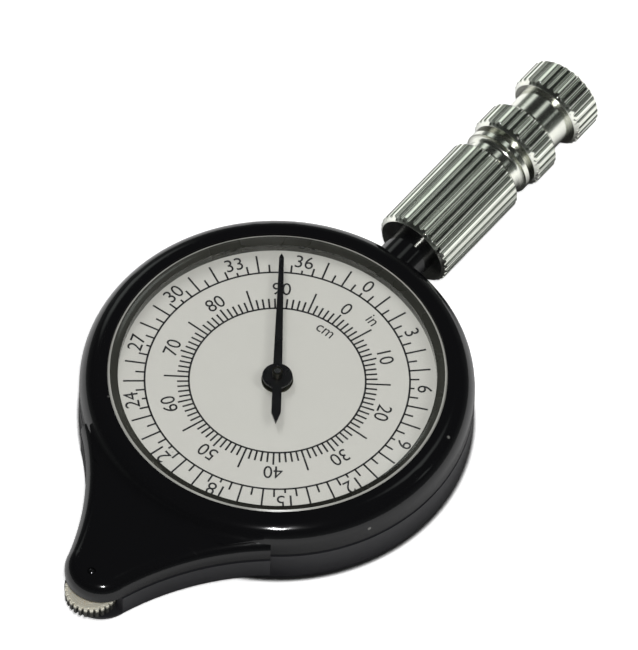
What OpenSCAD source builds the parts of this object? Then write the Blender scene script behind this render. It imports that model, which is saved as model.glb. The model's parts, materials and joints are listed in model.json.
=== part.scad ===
// Opisometer, a pocket map measurer. A small serrated wheel is rolled along a
// route, a train of gears slows its turning sixty times, and a pointer shows the
// length on a round dial. Millimetres. +Z comes out of the dial, +Y runs along
// the handle, and the origin is on the flat back, under the pointer's axis.

/* [Round case] */
// Outer diameter of the round case
case_d = 41.9; // [41:0.1:46]
// Height of the parting line between the two shells
parting_h = 4.3; // [4.2:0.05:4.5]
// Height of the shadow gap above the parting line
gap_h = 0.4; // [0.3:0.05:0.5]
// Depth of the shadow gap
gap_t = 0.25; // [0.15:0.05:0.4]
// Thickness of the front shell's round wall
wall_t = 1.45; // [1.2:0.05:1.8]
// Thickness of the back shell's floor
floor_t = 1; // [0.8:0.05:1.2]
// Radius of the bezel's outer edge
bezel_round = 2.4; // [1.5:0.1:2.6]
// Radius of the edge round the flat back
back_round = 0.8; // [0.4:0.1:1.2]
// Width of the bezel's flat ring, from the crystal to its rounded edge
bezel_flat = 0.5; // [0.3:0.05:0.8]

/* [Tail] */
// How far the wheel's axis lies beyond the centre of the tail's round end
wheel_ahead = 1.7; // [1.5:0.05:1.8]
// Radius of the tail's round end
tip_r = 3.9; // [3.8:0.05:4.2]
// Radius of the hollow curve of each flank
flank_r = 30; // [26:1:60]
// Angle from the middle of the tail to where each flank meets the round case
flare_angle = 36.4; // [34:0.2:39]
// How far the flank stands proud of the round case where it ends
flare_proud = 0.55; // [0.4:0.05:0.8]
// Depth of the tail's flat top below the top of the bezel
tail_drop = 1.6; // [1.2:0.05:1.8]
// Height of the tail's underside above the flat back
tail_back = 1.1; // [0.8:0.05:1.2]
// Radius of the tail's upper edge
tail_round = 1.6; // [1:0.1:1.8]
// Radius of the tail's lower edge
tail_back_round = 0.7; // [0.4:0.05:0.8]
// Thickness of the tail's side walls
tail_wall = 0.8; // [0.7:0.05:0.9]
// Thickness of the tail's top
tail_roof = 1; // [0.8:0.05:1.1]
// Thickness of the tail's floor
tail_floor = 0.8; // [0.7:0.05:0.9]
// Radius of the hollow between the bezel and the tail's top
valley_round = 1.8; // [1.2:0.1:2.4]

/* [Dial and crystal] */
// Depth of the dial's printed face below the top of the bezel
dial_depth = 1.9; // [1.8:0.05:2.4]
// Thickness of the dial
dial_t = 0.4; // [0.3:0.05:0.5]
// Thickness of the movement plate under the dial
plate_t = 0.8; // [0.7:0.05:0.9]
// Thickness of the crystal's side wall
crystal_wall = 0.8; // [0.6:0.05:1]
// Thickness of the crystal's dome
crystal_t = 0.9; // [0.7:0.05:1]
// Height of the crystal's dome above its rim
crystal_rise = 1.45; // [1.3:0.05:2]
// How far the crystal's rim lies below the top of the bezel
crystal_sink = 0.12; // [0.05:0.01:0.2]

/* [Pointer] */
// Gap between the pointer's tip and the crystal's wall
pointer_clear = 1.33; // [0.5:0.01:2.5]
// Length of the pointer's tail
pointer_tail = 6.1; // [5:0.05:8]
// Width of the pointer at its hub
pointer_w = 1; // [0.7:0.05:1.2]
// Width of the pointer where its tip begins to taper
pointer_tip_w = 0.5; // [0.3:0.05:0.6]
// Length of the pointer's tapered tip
pointer_tip_len = 0.5; // [0.3:0.05:1]
// Length of the tail's tapered end
pointer_tail_taper = 1.4; // [1:0.05:2]
// Radius of the pointer's round hub
pointer_hub_r = 1.6; // [1.3:0.05:1.9]
// Thickness of the pointer
pointer_t = 0.25; // [0.15:0.01:0.3]
// Height of the pointer above the dial
pointer_lift = 0.62; // [0.55:0.01:0.7]
// Angle of the pointer at rest, anticlockwise from the dial's zero
pointer_angle = 36.6; // [-180:0.1:180]
// Height of the pointer's pipe above the dial
pipe_top = 1.75; // [1.6:0.01:1.8]
// Outer radius of the pointer's pipe
pipe_r = 0.55; // [0.52:0.01:0.7]

/* [Gear train] */
// Travel of the wheel for one turn of the pointer
travel = 1000; // [980:1:1040]
// Teeth of every pinion
pinion_teeth = 8; // [8:1:8]
// Teeth of the idler
idler_teeth = 20; // [20:1:20]
// Teeth of the first gear
first_teeth = 40; // [40:1:40]
// Teeth of the second gear
second_teeth = 24; // [24:1:24]
// Teeth of the centre gear
centre_teeth = 32; // [32:1:32]
// Module of the drive pinion, the idler and the first gear
fine_module = 0.305; // [0.29:0.005:0.31]
// Module of the two slower pairs
coarse_module = 0.5; // [0.48:0.005:0.505]
// Thickness of the gears
gear_t = 0.8; // [0.6:0.05:0.9]
// Room between the floor and the centre gear
floor_room = 0.5; // [0.4:0.05:0.8]
// Room between one level of gears and the next
level_room = 0.6; // [0.5:0.05:0.8]
// Room between the top level of gears and the movement plate
plate_room = 0.2; // [0.15:0.05:0.4]
// Radius of the gears' arbors
arbor_r = 0.5; // [0.4:0.05:0.55]
// Radius of the wheel's and the idler's axles
axle_r = 0.4; // [0.35:0.01:0.45]
// Running clearance round an arbor in its bore
bore_gap = 0.03; // [0.02:0.005:0.06]
// Clearance round a part that is pressed or cemented in
seat_gap = 0.02; // [0.01:0.005:0.05]
// Play between meshing teeth, along the pitch circle
backlash = 0.09; // [0.07:0.01:0.14]

/* [Tracing wheel] */
// Number of serrations
wheel_teeth = 28; // [20:1:36]
// Depth of a serration
serration = 0.3; // [0.1:0.02:0.4]
// Share of the pitch that a serration's tip covers
serration_tip = 0.5; // [0.3:0.05:0.6]
// Share of the pitch that a serration's foot covers
serration_foot = 0.84; // [0.7:0.02:0.9]
// Thickness of the wheel
wheel_t = 1.3; // [1.1:0.05:1.5]
// Room between the wheel and the floor of the tail
wheel_room = 0.3; // [0.2:0.05:0.35]
// Clearance round the wheel in its slot
wheel_gap = 0.25; // [0.2:0.05:0.35]
// How far the sides of the wheel's slot are open behind its axis
slot_reach = 0.6; // [0.2:0.05:0.8]

/* [Handle] */
// Height of the handle's axis above the flat back
handle_z = 5.35; // [5.2:0.05:5.5]
// Distance from the pointer's axis to the near end of the grip
grip_y = 23.15; // [22.5:0.05:24]
// Radius of the black stub that carries the grip
stub_r = 2.6; // [2.2:0.05:2.9]
// Radius of the grip over its knurling
grip_r = 4.48; // [4.2:0.02:4.8]
// Length of the knurled grip
grip_len = 13.15; // [10:0.05:18]
// Radius of the neck past the grip
neck_r = 3.4; // [3.2:0.05:3.5]
// Length of the neck
neck_len = 1.1; // [0.8:0.05:2]
// Radius of the plain collar past the neck
collar_r = 4; // [3.8:0.05:4.1]
// Length of the collar, with its rounded shoulder
collar_len = 1.2; // [1:0.05:1.5]
// Width of the groove between the collar and the cap
groove_len = 0.85; // [0.5:0.05:1.2]
// Radius at the bottom of that groove
groove_r = 3; // [2.8:0.05:3.1]
// Length of the cap's knurled ring
ring_len = 3.65; // [3:0.05:5]
// Radius of the waist between the cap's ring and knob
waist_r = 3.33; // [3:0.05:3.6]
// Length of the waist
waist_len = 3.35; // [2.5:0.05:5]
// Length of the knurled knob
knob_len = 4.05; // [3:0.05:6]
// Chamfer at the ends of the knurling
knurl_chamfer = 0.5; // [0.3:0.05:0.6]
// Number of flutes round the knurling
flutes = 32; // [24:1:40]
// Radius of a flute
flute_r = 0.28; // [0.2:0.01:0.3]
// Depth of a flute
flute_depth = 0.2; // [0.1:0.01:0.25]
// Radius of the hollow inside the grip
grip_bore_r = 2.4; // [2.2:0.05:2.6]
// Thickness of the grip's end wall, under the screw's head
grip_end_t = 3; // [2:0.1:4]
// Radius of the screw that holds the grip
screw_r = 1.2; // [1:0.05:1.3]
// Length of the cap's shank inside the grip
shank_len = 4.5; // [3:0.1:6]

/* [Hidden] */

$fn = 120;
eps = 0.01;
over = 1;                                  // how far a cutter runs past what it cuts
pressure = 24;                             // pressure angle of the teeth
addendum = 0.85;                           // tooth height above the pitch circle, in modules
dedendum = 1.15;                           // tooth depth below the pitch circle, in modules
end_gap = 0.05;                            // end play of an arbor in a blind bore

// Colours
black = [0.05, 0.05, 0.055];
dark = [0.1, 0.1, 0.11];
chrome = [0.78, 0.79, 0.8];
steel = [0.6, 0.61, 0.62];
brass = [0.78, 0.63, 0.32];
nickel = [0.8, 0.77, 0.66];
paper = [0.86, 0.86, 0.83];

// Case
case_r = case_d / 2;
window_r = case_r - bezel_round - bezel_flat;
cavity_r = case_r - wall_t;
plate_gap = 0.2;                           // round the plate and its ear
plate_r = cavity_r - plate_gap;

// Heights, from the floor up to the bezel
slow_z = floor_t + floor_room;
middle_z = slow_z + gear_t + level_room;
fast_z = middle_z + gear_t + level_room;
plate_z = fast_z + gear_t + plate_room;
plate_top = plate_z + plate_t;
dial_top = plate_top + dial_t;
case_h = dial_top + dial_depth;
tail_top = case_h - tail_drop;
gap_top = parting_h + gap_h;
bearing_depth = 0.5;                       // of the blind bearings in the shells
hub_play = 0.1;                            // between a hub and what it turns against

// Case pieces
tongue_t = 0.5;
tongue_h = 0.6;
post_ring = 15.6;                          // radius of the ring on which the posts stand
post_r = 1.8;
post_angles = [30, 150, 210, 330];
plate_screw_r = 0.6;
plate_screw_head_r = 1.1;
plate_screw_head_t = 0.45;
plate_screw_slot_w = 0.24;
plate_screw_slot_t = 0.2;
plate_screw_tip_gap = 0.2;                 // under a screw's end, in its post

pointer_len = window_r - seat_gap - crystal_wall - pointer_clear;

// Train: every axis lies on the Y axis
function reach(m, a, b) = m * (a + b) / 2;
second_y = -reach(coarse_module, centre_teeth, pinion_teeth);
first_y = second_y - reach(coarse_module, second_teeth, pinion_teeth);
idler_y = first_y - reach(fine_module, first_teeth, idler_teeth);
wheel_y = idler_y - reach(fine_module, idler_teeth, pinion_teeth);
turns = first_teeth * second_teeth * centre_teeth / pow(pinion_teeth, 3);
wheel_r = travel / (2 * PI * turns) + serration / 2;
fine_pinion_r = fine_module * (pinion_teeth / 2 + addendum);
idler_tip_r = fine_module * (idler_teeth / 2 + addendum);
pocket_floor = tail_back + tail_floor;
wheel_z = pocket_floor + wheel_room;
wheel_top = wheel_z + wheel_t;
pinion_over = 0.25;                        // how far the drive pinion stands above the idler
pinion_under = 0.15;                       // how far a slower pinion reaches below its gear
pinion_room = 0.15;                        // round the drive pinion in the front shell
pinion_top = fast_z + gear_t + pinion_over;
roof_z = tail_top - tail_roof;
hub_r = 1;
boss_r = 1.2;                              // of the plate's ear round the first arbor
idler_post_gap = 0.3;                      // between the idler and its post
idler_post_top = fast_z - idler_post_gap;
idler_seat = 0.2;                          // of the idler's post left under its bearing
spigot_r = 0.35;                           // of the centre arbor's end, inside the pipe
bush_r = arbor_r + 0.45;
bush_flange_r = 1.69;
bush_flange_t = 0.2;
pipe_hub_r = 0.96;
axle_rise = 0.2;                           // height of the dome on the wheel axle's end

// Tail outline: a round end at tip, flanks hollowed by circles about flank_c
crossing = 0.02;                           // how far the round end stands out where a flank begins
tip = [0, wheel_y + wheel_ahead];
flare = (case_r + flare_proud) * [sin(flare_angle), -cos(flare_angle)];
function unit(v) = v / norm(v);
function meet(a, ra, b, rb) =              // where circles about a and b cross, right of a to b
    let (d = norm(b - a), x = (ra * ra - rb * rb + d * d) / (2 * d), h = sqrt(ra * ra - x * x),
         u = unit(b - a))
    a + x * u + h * [u.y, -u.x];
flank_c = meet(tip, tip_r - crossing + flank_r, flare, flank_r);
touch = unit(flank_c - tip);               // from the round end's centre to where a flank begins
function ray_hit(u, c, r) = let (m = u * c) u * (m - sqrt(m * m - c * c + r * r));
function turned(a) = [sin(a), -cos(a)];

// Handle
grip_top = grip_y + grip_len + neck_len + collar_len;
cap_len = groove_len + ring_len + waist_len + knob_len;
stub_bed = 2;                              // length of the back shell's bed under the stub
screw_end_y = case_r - 1;
screw_head_gap = 0.2;
screw_head_r = grip_bore_r - screw_head_gap;
screw_head_t = 1.4;
screw_slot_w = 0.6;
screw_slot_t = 0.7;

// --- shared shapes -------------------------------------------------------

// Upright cylinder from z0 to z1
module post(r, z0, z1) { translate([0, 0, z0]) cylinder(h = z1 - z0, r = r); }

// Turned piece: a profile of [radius, height] points
module turned_piece() { rotate_extrude() children(); }

// Lay a piece that stands on Z along +Y, starting at y
module along_handle(y) { translate([0, y, handle_z]) rotate([-90, 0, 0]) children(); }

// Outline of the tail between its flanks, drawn in by inset
module flank_outline(inset) {
    end = flare_angle - asin(inset / norm(flare));
    corner = ray_hit(turned(end), flank_c, flank_r + inset);
    side = tip + (tip_r - crossing - inset) * touch;
    difference() {
        polygon([[0, 0], corner, side, tip, [-side.x, side.y], [-corner.x, corner.y]]);
        for (s = [-1, 1])
            translate([s * flank_c.x, flank_c.y]) circle(r = flank_r + inset);
    }
}

// Whole outline of the tail, drawn in by inset
module tail_outline(inset) {
    flank_outline(inset);
    translate(tip) circle(r = tip_r - inset);
}

// Section of the cutter that rounds an edge of radius r lying at [0, 0]; the
// material is on the -X side and below
module edge_cutter(r) {
    difference() {
        translate([-r, -r]) square(r + over);
        translate([-r, -r]) circle(r = r, $fn = 32);
    }
}

// Turn a piece upside down about height 0 when dir is -1
module upright(dir) { if (dir > 0) children(); else mirror([0, 0, 1]) children(); }

// Cutter that rounds the upper edge of both flanks, lying at height 0
module flank_edges(r) {
    corner = flare - flank_c;
    run = 6;                               // past either end of a flank, in degrees
    start = atan2(corner.y, corner.x) - run;
    end = atan2(touch.y, touch.x) + 180 + run;
    for (s = [0, 1])
        mirror([s, 0, 0])
            translate([flank_c.x, flank_c.y, 0])
                rotate([0, 0, start])
                    rotate_extrude(angle = (end - start + 720) % 360)
                        translate([flank_r, 0]) mirror([1, 0]) edge_cutter(r);
}

// Tail, h thick under height 0, with its upper edge rounded: a block between the
// flanks, and a round end that runs a little way into it
module tail_plug(h, r) {
    run = 12;                              // of the round end into the block, in degrees
    a = atan2(touch.y, touch.x) + run;
    difference() {
        translate([0, 0, -h]) linear_extrude(h) flank_outline(0);
        flank_edges(r);
    }
    translate([tip.x, tip.y, 0])
        rotate([0, 0, 180 - a])
            rotate_extrude(angle = 180 + 2 * a)
                difference() {
                    translate([0, -h]) square([tip_r, h]);
                    translate([tip_r, 0]) edge_cutter(r);
                }
}

// Solid of the tail between two heights, with its upper or lower edge rounded
module tail_body(z0, z1, r, dir) {
    translate([0, 0, dir > 0 ? z1 : z0]) upright(dir) tail_plug(z1 - z0, r);
}

// Half the angle that a tooth covers at radius r
function inv(rb, r) = r <= rb ? 0 : let (a = acos(rb / r)) tan(a) * 180 / PI - a;
function tooth_half(m, z, r) =
    let (rp = m * z / 2, rb = rp * cos(pressure))
    (90 - 180 * backlash / (2 * PI * m)) / z + inv(rb, rp) - inv(rb, r);

// Outline of a spur gear with a tooth (or, with gap true, a gap) on the +Y side
module gear_outline(m, z, gap = false) {
    rp = m * z / 2;
    tip_radius = rp + addendum * m;
    root = rp - dedendum * m;
    rb = max(rp * cos(pressure), root);
    radii = [root, for (i = [0:3]) rb + (tip_radius - rb) * i / 3];
    start = 90 + (gap ? 180 / z : 0);
    polygon([for (k = [0:z - 1])
        let (a = start + 360 * k / z)
        each concat(
            [for (r = radii) let (t = a - tooth_half(m, z, r)) r * [cos(t), sin(t)]],
            [for (i = [len(radii) - 1:-1:0])
                let (r = radii[i], t = a + tooth_half(m, z, r)) r * [cos(t), sin(t)]])]);
}

// Gear of thickness t with a hub from h0 to h1 round an arbor
module gear(y, m, z, gap, z0, t, h0, h1, bore) {
    translate([0, y, 0])
        difference() {
            union() {
                translate([0, 0, z0]) linear_extrude(t) gear_outline(m, z, gap);
                post(hub_r, h0, h1);
            }
            post(bore + seat_gap, h0 - over, h1 + over);
        }
}

// Pinion on an arbor
module pinion(y, m, z0, z1, bore) {
    translate([0, y, 0])
        difference() {
            translate([0, 0, z0]) linear_extrude(z1 - z0) gear_outline(m, pinion_teeth);
            post(bore + seat_gap, z0 - over, z1 + over);
        }
}

// Round bar with straight flutes, as a flat outline
module knurl_outline() {
    difference() {
        circle(r = grip_r);
        for (k = [0:flutes - 1])
            rotate(360 * k / flutes)
                translate([grip_r + flute_r - flute_depth, 0]) circle(r = flute_r, $fn = 24);
    }
}

// Knurled bar from z0 to z1, chamfered at both ends
module knurled(z0, z1) {
    c = knurl_chamfer;
    intersection() {
        translate([0, 0, z0]) linear_extrude(z1 - z0) knurl_outline();
        rotate_extrude()
            polygon([[0, z0], [grip_r - c, z0], [grip_r, z0 + c], [grip_r, z1 - c],
                     [grip_r - c, z1], [0, z1]]);
    }
}

// --- case ----------------------------------------------------------------

// Half section of the front shell's ring, with its rounded bezel
module front_section() {
    difference() {
        union() {
            translate([cavity_r, parting_h]) square([wall_t, case_h - parting_h]);
            translate([window_r, plate_top])
                square([case_r - window_r, case_h - plate_top]);
        }
        translate([case_r, case_h]) edge_cutter(bezel_round);
        translate([case_r - gap_t, parting_h - over]) square([gap_t + over, over + gap_h]);
    }
}

// Hollow between the bezel and the tail's top, as a half section
module valley_section() {
    arc = [case_r - bezel_round, case_h - bezel_round];
    up = tail_top + valley_round - arc.y;
    out = sqrt(pow(bezel_round + valley_round, 2) - up * up);
    centre = arc + [out, up];
    meet_pt = arc + bezel_round / (bezel_round + valley_round) * [out, up];
    difference() {
        polygon([[arc.x, tail_top - eps], [centre.x, tail_top - eps], [centre.x, tail_top],
                 [centre.x, meet_pt.y], [arc.x, meet_pt.y]]);
        translate(centre) circle(r = valley_round, $fn = 40);
    }
}

// Room for the wheel, open at the end of the tail and at both sides
module wheel_slot(z0, z1) {
    end_y = tip.y - tip_r - over;
    translate([0, wheel_y, 0]) post(wheel_r + wheel_gap, z0, z1);
    translate([-tip_r - over, end_y, z0])
        cube([2 * (tip_r + over), wheel_y + slot_reach - end_y, z1 - z0]);
}

module front_shell() {
    color(black)
        difference() {
            union() {
                rotate_extrude() front_section();
                tail_body(gap_top, tail_top, tail_round, 1);
                translate([0, 0, parting_h]) linear_extrude(gap_h + eps) tail_outline(gap_t);
                intersection() {
                    rotate_extrude() valley_section();
                    translate([0, 0, parting_h]) linear_extrude(case_h) tail_outline(tail_round / 2);
                }
                along_handle(cavity_r) cylinder(h = grip_y - cavity_r, r = stub_r);
            }
            // movement and dial
            post(cavity_r, parting_h - over, plate_top);
            post(window_r, parting_h - over, case_h + over);
            translate([0, first_y, 0]) post(boss_r + plate_gap, parting_h - over, plate_top);
            translate([0, 0, parting_h - over])
                linear_extrude(roof_z - parting_h + over) tail_outline(tail_wall);
            // wheel, its pinion and the two upper bearings
            wheel_slot(parting_h - over, gap_top);
            translate([0, wheel_y, 0]) {
                post(fine_pinion_r + pinion_room, parting_h - over, pinion_top + pinion_room);
                post(axle_r + bore_gap, parting_h, tail_top + over);
            }
            translate([0, idler_y, 0]) post(axle_r + bore_gap, parting_h, roof_z + bearing_depth);
            // screw of the grip
            along_handle(screw_end_y - end_gap)
                cylinder(h = grip_y - screw_end_y + over, r = screw_r + seat_gap);
        }
}

// Half section of the back shell's pot
module back_section() {
    inner = cavity_r - seat_gap - tongue_t;
    difference() {
        union() {
            square([case_r, parting_h]);
            translate([inner, parting_h - eps]) square([tongue_t, tongue_h + eps]);
        }
        translate([case_r, 0]) mirror([0, 1]) edge_cutter(back_round);
        translate([0, floor_t]) square([inner, case_h]);
    }
}

module back_shell() {
    color(dark)
        difference() {
            union() {
                rotate_extrude() back_section();
                tail_body(tail_back, parting_h, tail_back_round, -1);
            }
            // room for the train
            translate([0, 0, pocket_floor]) linear_extrude(case_h) tail_outline(tail_wall);
            post(cavity_r - seat_gap - tongue_t, floor_t, case_h);
            wheel_slot(pocket_floor, case_h);
            translate([0, wheel_y, 0]) post(axle_r + bore_gap, 0, case_h);
            // front shell's stub
            along_handle(cavity_r - stub_bed)
                cylinder(h = grip_y - cavity_r + stub_bed, r = stub_r + seat_gap);
            // lower bearings
            for (y = [0, second_y, first_y])
                translate([0, y, 0]) post(arbor_r + bore_gap, floor_t - bearing_depth, case_h);
        }
    color(dark) back_posts();
}

// Posts that carry the movement plate, and the idler's lower bearing
module back_posts() {
    for (a = post_angles)
        rotate(a) translate([post_ring, 0, 0])
            difference() {
                post(post_r, floor_t, plate_z);
                post(plate_screw_r + seat_gap, floor_t + over, plate_z + over);
            }
    translate([0, idler_y, 0])
        difference() {
            post(hub_r, pocket_floor, idler_post_top);
            post(axle_r + bore_gap, pocket_floor + idler_seat, case_h);
        }
}

module crystal() {
    r = window_r - seat_gap;
    rim_z = case_h - crystal_sink;
    dome_r = (r * r + crystal_rise * crystal_rise) / (2 * crystal_rise);
    color([0.85, 0.92, 0.95, 0.35])
        rotate_extrude() {
            intersection() {
                translate([0, rim_z + crystal_rise - dome_r])
                    difference() {
                        circle(r = dome_r, $fn = 720);
                        circle(r = dome_r - crystal_t, $fn = 720);
                    }
                translate([0, dial_top]) square([r, case_h]);
            }
            translate([r - crystal_wall, dial_top])
                square([crystal_wall, rim_z - dial_top - crystal_t / 2]);
        }
}

module dial() {
    color(paper)
        difference() {
            post(window_r - seat_gap, dial_top - dial_t, dial_top);
            post(bush_r + seat_gap, dial_top - dial_t - over, dial_top + over);
        }
}

// --- movement ------------------------------------------------------------

module movement_plate() {
    color(brass)
        difference() {
            union() {
                post(plate_r, plate_z, plate_top);
                translate([0, first_y, 0]) post(boss_r, plate_z, plate_top);
            }
            post(bush_r + seat_gap, plate_z - over, plate_top + over);
            for (y = [second_y, first_y])
                translate([0, y, 0])
                    post(arbor_r + bore_gap, plate_z - over, plate_top + over);
            for (a = post_angles)
                rotate(a) translate([post_ring, 0, 0]) {
                    post(plate_screw_r + seat_gap, plate_z - over, plate_top + over);
                    post(plate_screw_head_r + seat_gap, plate_top - plate_screw_head_t,
                         plate_top + over);
                }
        }
}

module plate_screws() {
    top = plate_top;
    color(steel)
        for (a = post_angles)
            rotate(a) translate([post_ring, 0, 0])
                difference() {
                    union() {
                        post(plate_screw_r, floor_t + over + plate_screw_tip_gap,
                             top - plate_screw_head_t + eps);
                        post(plate_screw_head_r, top - plate_screw_head_t, top);
                    }
                    translate([-over - plate_screw_head_r, -plate_screw_slot_w / 2,
                               top - plate_screw_slot_t])
                        cube([2 * (over + plate_screw_head_r), plate_screw_slot_w, over]);
                }
}

module dial_bush() {
    color(brass)
        difference() {
            union() {
                post(bush_r, plate_z, dial_top + bush_flange_t);
                post(bush_flange_r, dial_top, dial_top + bush_flange_t);
            }
            post(arbor_r + bore_gap, plate_z - over, dial_top + over);
        }
}

module tracing_wheel() {
    color(nickel)
        translate([0, wheel_y, 0])
            difference() {
                translate([0, 0, wheel_z]) linear_extrude(wheel_t)
                    polygon([for (k = [0:wheel_teeth - 1],
                                  s = [[-serration_foot, serration], [-serration_tip, 0],
                                       [serration_tip, 0], [serration_foot, serration]])
                        let (a = 360 * (k + s[0] / 2) / wheel_teeth)
                        (wheel_r - s[1]) * [cos(a), sin(a)]]);
                post(axle_r + seat_gap, wheel_z - over, wheel_top + over);
            }
}

module drive_pinion() {
    color(brass) pinion(wheel_y, fine_module, wheel_top, pinion_top, axle_r);
}

module wheel_axle() {
    dome_r = (axle_r * axle_r + axle_rise * axle_rise) / (2 * axle_rise);
    color(steel)
        translate([0, wheel_y, 0]) {
            post(axle_r, tail_back + end_gap, tail_top - axle_rise / 2);
            translate([0, 0, tail_top - axle_rise / 2])
                rotate_extrude() intersection() {
                    translate([0, axle_rise - dome_r]) circle(r = dome_r);
                    square(2 * axle_r);
                }
        }
}

module idler_gear() {
    color(brass)
        gear(idler_y, fine_module, idler_teeth, true, fast_z, gear_t,
             idler_post_top + hub_play, roof_z - hub_play, axle_r);
}

module idler_arbor() {
    color(steel)
        translate([0, idler_y, 0])
            post(axle_r, pocket_floor + idler_seat + end_gap, roof_z + bearing_depth - end_gap);
}

module first_gear() {
    color(brass)
        gear(first_y, fine_module, first_teeth, false, fast_z, gear_t,
             fast_z, plate_z - hub_play, arbor_r);
}

module first_pinion() {
    color(brass) pinion(first_y, coarse_module, middle_z - pinion_under, fast_z, arbor_r);
}

module first_arbor() {
    color(steel)
        translate([0, first_y, 0])
            post(arbor_r, floor_t - bearing_depth + end_gap, plate_top - end_gap);
}

module second_gear() {
    color(brass)
        gear(second_y, coarse_module, second_teeth, true, middle_z, gear_t,
             middle_z, plate_z - hub_play, arbor_r);
}

module second_pinion() {
    color(brass) pinion(second_y, coarse_module, slow_z - pinion_under, middle_z, arbor_r);
}

module second_arbor() {
    color(steel)
        translate([0, second_y, 0])
            post(arbor_r, floor_t - bearing_depth + end_gap, plate_top - end_gap);
}

module centre_gear() {
    color(brass)
        gear(0, coarse_module, centre_teeth, true, slow_z, gear_t,
             floor_t + hub_play, plate_z - hub_play, arbor_r);
}

module centre_arbor() {
    color(steel) {
        post(arbor_r, floor_t - bearing_depth + end_gap, dial_top + bush_flange_t);
        post(spigot_r, dial_top, dial_top + pipe_top);
    }
}

// --- pointer -------------------------------------------------------------

module pointer() {
    z = dial_top + pointer_lift;
    tail_end = pointer_tail_taper - pointer_tail;
    color(black)
        rotate(pointer_angle)
            difference() {
                translate([0, 0, z]) linear_extrude(pointer_t) {
                    circle(r = pointer_hub_r);
                    polygon([[-pointer_w / 2, 0], [pointer_w / 2, 0],
                             [pointer_tip_w / 2, pointer_len - pointer_tip_len],
                             [0, pointer_len],
                             [-pointer_tip_w / 2, pointer_len - pointer_tip_len]]);
                    polygon([[-pointer_w / 2, 0], [-pointer_w / 2, tail_end],
                             [0, -pointer_tail], [pointer_w / 2, tail_end],
                             [pointer_w / 2, 0]]);
                }
                post(pipe_r + seat_gap, z - over, z + over);
            }
}

module pointer_pipe() {
    z = dial_top + pointer_lift;
    color(steel)
        difference() {
            union() {
                post(pipe_r, z - eps, dial_top + pipe_top);
                post(pipe_hub_r, dial_top + bush_flange_t + hub_play, z);
            }
            post(spigot_r + seat_gap, dial_top, dial_top + pipe_top + over);
        }
}

// --- handle --------------------------------------------------------------

module handle_screw() {
    color(steel)
        along_handle(screw_end_y)
            difference() {
                union() {
                    cylinder(h = grip_y + grip_end_t - screw_end_y + eps, r = screw_r);
                    translate([0, 0, grip_y + grip_end_t - screw_end_y])
                        cylinder(h = screw_head_t, r = screw_head_r);
                }
                translate([-grip_r, -screw_slot_w / 2,
                           grip_y + grip_end_t + screw_head_t - screw_end_y - screw_slot_t])
                    cube([2 * grip_r, screw_slot_w, over]);
            }
}

module grip_barrel() {
    neck = grip_len + neck_len;
    top = neck + collar_len;
    shoulder = collar_r - neck_r;
    color(chrome)
        along_handle(grip_y)
            difference() {
                union() {
                    knurled(0, grip_len);
                    rotate_extrude() difference() {
                        union() {
                            translate([0, grip_len - over]) square([neck_r, over + neck_len + eps]);
                            translate([0, neck]) square([collar_r, collar_len]);
                        }
                        translate([collar_r, neck]) circle(r = shoulder);
                    }
                }
                post(screw_r + seat_gap, -over, grip_end_t + over);
                post(grip_bore_r, grip_end_t, top + over);
            }
}

module grip_cap() {
    ring = groove_len;
    waist = ring + ring_len;
    knob = waist + waist_len;
    color(chrome)
        along_handle(grip_top) {
            post(grip_bore_r - seat_gap, -shank_len, eps);
            post(groove_r, 0, ring + eps);
            knurled(ring, waist);
            post(waist_r, waist - eps, knob + eps);
            knurled(knob, knob + knob_len);
        }
}

front_shell();
back_shell();
crystal();
dial();
movement_plate();
plate_screws();
dial_bush();
tracing_wheel();
drive_pinion();
wheel_axle();
idler_gear();
idler_arbor();
first_gear();
first_pinion();
first_arbor();
second_gear();
second_pinion();
second_arbor();
centre_gear();
centre_arbor();
pointer();
pointer_pipe();
handle_screw();
grip_barrel();
grip_cap();
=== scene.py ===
"""Looks of a pocket map measurer: case, crystal, printed dial, pointer, wheel and handle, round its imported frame."""

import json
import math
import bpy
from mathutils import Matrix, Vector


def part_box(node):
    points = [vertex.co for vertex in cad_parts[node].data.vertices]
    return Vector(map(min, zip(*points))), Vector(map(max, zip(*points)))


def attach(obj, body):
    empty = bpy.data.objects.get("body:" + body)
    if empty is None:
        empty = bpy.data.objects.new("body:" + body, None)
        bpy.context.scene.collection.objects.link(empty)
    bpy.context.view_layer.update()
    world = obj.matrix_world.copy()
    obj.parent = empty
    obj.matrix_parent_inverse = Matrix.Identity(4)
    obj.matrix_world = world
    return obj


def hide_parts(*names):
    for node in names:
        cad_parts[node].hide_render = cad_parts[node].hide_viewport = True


bl_info = {
    "name": "Map Measurer",
    "version": (1, 0, 0),
    "blender": (4, 5, 0),
    "location": "View3D > Sidebar > Map Measurer",
    "description": "Builds the pieces and finishes of a pocket map measurer on its packed frame",
    "category": "Add Mesh",
}

import bmesh
import bpy
from bpy.props import FloatProperty, FloatVectorProperty, IntProperty, PointerProperty
from mathutils import Euler, Matrix, Vector

MM = 0.001
HAIR = 0.001 * MM  # two places nearer than this count as one
MERGE = 0.0005 * MM  # corners nearer than this are joined
FLOOR_GAP = 0.02 * MM  # from the floor up to the object
FIGURE_SHARE = 0.72  # height of a figure against its font's size
# Facets along the rounding of the crystal's edge, along its dome, round the crystal and round a printed circle.
EDGE_STEPS, DOME_STEPS, CRYSTAL_STEPS, CIRCLE_STEPS = 5, 28, 192, 240

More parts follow.
